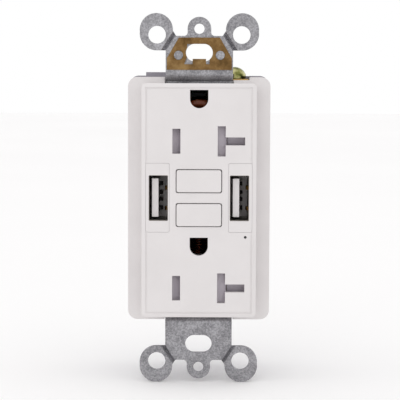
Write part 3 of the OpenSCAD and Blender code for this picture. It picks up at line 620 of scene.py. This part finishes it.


# ---- USB ports ----
# Each port is a folded steel shell round a white tongue, and both are soldered to one board.
# The contacts sit in shaded pockets beside the tongue and are coloured near-black as painted shade, and two
# spring leaves in the shell grip the plug.

def bronze_in_painted_shade():
    """Phosphor bronze contacts deep in the port, coloured nearly black as painted shade of the pockets they
    sit in.
    """
    material, tree, shader, place = start_material("phosphor_bronze_painted_shade", Metallic=0.6)
    # This noise only varies the painted shade a little.
    oxide = add(tree, "TexNoise", lumps(place, 0.4, detail=4)).outputs["Fac"]
    drive(tree, shader, (oxide, [(0.35, "#0b0907"), (0.65, "#1b1511")]),
          (oxide, 0.3, 0.7, 0.45, 0.6), (oxide, 0.005))
    return material


shell_steel = zinc_plated_steel("tin_plated_shell_steel", "#75706c", "#858079", "#97918a", rough=0.45)
dress(shell_steel, "usb_shells")
# The contacts' near-black colour is painted shade.
dress(bronze_in_painted_shade(), "usb_contacts")
shell_low, shell_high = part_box("usb_shells")
port_z = (shell_low.z + shell_high.z) / 2
PORT_HALF_W = 2.86 * MM
SHELL_T = 0.3 * MM
LEAF_FROM_MIDDLE = 2.9 * MM
LEAF_LENGTH = 3.6 * MM
LEAF_WIDTH = 0.9 * MM
LEAF_T = 0.12 * MM
LEAF_BULGE = 0.8 * MM
LEAF_DEPTH = 2.1 * MM
leaves = bmesh.new()
for port_x in (shell_low.x + PORT_HALF_W, shell_high.x - PORT_HALF_W):
    wall_x = port_x + PORT_HALF_W - SHELL_T
    for z in (port_z - LEAF_FROM_MIDDLE, port_z + LEAF_FROM_MIDDLE):
        leaf = bmesh.ops.create_grid(leaves, x_segments=8, y_segments=2, size=0.5)["verts"]
        size = Matrix.Diagonal((LEAF_LENGTH, LEAF_WIDTH, 1, 1))
        bmesh.ops.transform(leaves, matrix=size, verts=leaf)
        for vert in leaf:
            bulge = LEAF_BULGE * (1 - (vert.co.x / (LEAF_LENGTH / 2)) ** 2)
            vert.co = Vector((wall_x - bulge, shell_low.y + LEAF_DEPTH + vert.co.x, z + vert.co.y))
        faces = list({face for vert in leaf for face in vert.link_faces})
        bmesh.ops.solidify(leaves, geom=faces, thickness=LEAF_T)
finish_piece("usb_shell_leaves", leaves, screw_brass, "root", "brass")


# ---- Status light ----
# A polycarbonate pipe leads light to a pinhole in the face; its near-black tint is painted shade, so that the
# pinhole shows dark.
# The small lamp behind it is cast in diffusing epoxy and soldered to the USB board.

def clear_plastic(name, tint, pale, rough):
    """Clear moulded plastic, faintly tinted, with slight flow lines inside."""
    material, tree, shader, place = start_material(name, IOR=1.58, Transmission_Weight=0.9)
    flow = add(tree, "TexNoise", lumps(place, 1.5)).outputs["Fac"]
    drive(tree, shader, (flow, [(0.3, tint), (0.7, pale)]),
          (flow, 0.3, 0.7, rough, rough + 0.08), (flow, 0.01))
    return material


# The pipe's near-black tint is painted shade for the pinhole.
dress(clear_plastic("polycarbonate_tinted_as_painted_shade", "#22282a", "#30383a", 0.08), "light_pipe")
dress(clear_plastic("diffused_lamp_epoxy", "#c9e6cc", "#dff2e1", 0.35), "status_led")


# ---- Front cover, bezels, tongues and buttons ----
# The face is a satin white polycarbonate moulding with a raised field and a stepped skirt.
# The two USB bezels are pressed into it, and the two buttons are moulded in the same white.

white = moulded_plastic("moulded_white_polycarbonate", "#dbd7d7", "#dedada", 0.36, grain=0.35)
dress(white, "front_cover", "usb_bezels", "test_button", "reset_button", "usb_tongues")
soften(0.28, "front_cover", segments=3)
soften(0.2, "usb_bezels", segments=2)
soften(0.3, "test_button", "reset_button", segments=3)
soften(0.1, "usb_tongues")


# ---- Setting ----
# The outlet stands on the lower ears of its strap, on a wide floor painted matt white.
# A white room lights it evenly, with one large soft lamp before it and a weak one to its left.

floor_maker = bmesh.new()
FLOOR_RADIUS_M = 4.0
bmesh.ops.create_circle(floor_maker, cap_ends=True, segments=64, radius=FLOOR_RADIUS_M)
bmesh.ops.translate(floor_maker, verts=floor_maker.verts, vec=(0, 0, cad_low.z))
floor_mesh = bpy.data.meshes.new("floor")
floor_maker.to_mesh(floor_mesh)
floor_maker.free()
floor_material, tree, shader, place = start_material("painted_white_floor")
clouds = add(tree, "TexNoise", lumps(place, 400.0)).outputs["Fac"]
drive(tree, shader, (clouds, [(0.3, "#fbfafa"), (0.7, "#fdfcfc")]),
      (clouds, 0.3, 0.7, 0.88, 0.92), (clouds, 0.5))
floor_mesh.materials.append(floor_material)
floor = bpy.data.objects.new("floor", floor_mesh)
bpy.context.scene.collection.objects.link(floor)

world = bpy.data.worlds.new("studio")
bpy.context.scene.world = world
world.use_nodes = True
sky = world.node_tree.nodes["Background"].inputs
sky["Color"].default_value = colour("#ffffff")
sky["Strength"].default_value = 1.0


def softbox(name, place, size, watts):
    """A round studio light that faces the object."""
    lamp = bpy.data.lights.new(name, "AREA")
    lamp.shape = "DISK"
    lamp.size = size
    lamp.energy = watts
    holder = bpy.data.objects.new(name, lamp)
    holder.location = place
    holder.rotation_euler = (-Vector(place)).to_track_quat("-Z", "Y").to_euler()
    bpy.context.scene.collection.objects.link(holder)


softbox("key_light", (-0.25, -0.9, 0.45), 0.5, 0.55)
softbox("edge_light", (-0.9, -0.25, 0.2), 0.3, 0.35)

bpy.context.scene.view_settings.view_transform = "Standard"

CAMERA_AWAY = 420
CAMERA_UP = math.radians(4.5)
CAMERA_ROLL = math.radians(0.2)
AIM = Vector((0.32, 0, -0.3)) * MM
lens = bpy.data.cameras.new("camera")
lens.sensor_width = 36
lens.lens = 132
lens.clip_start = 0.01
lens.clip_end = 20
camera = bpy.data.objects.new("camera", lens)
level = Matrix.Rotation(math.pi / 2 - CAMERA_UP, 4, "X") @ Matrix.Rotation(CAMERA_ROLL, 4, "Z")
away = Vector((0, -math.cos(CAMERA_UP), math.sin(CAMERA_UP))) * CAMERA_AWAY * MM
camera.matrix_world = Matrix.Translation(AIM + away) @ level
bpy.context.scene.collection.objects.link(camera)
bpy.context.scene.camera = camera
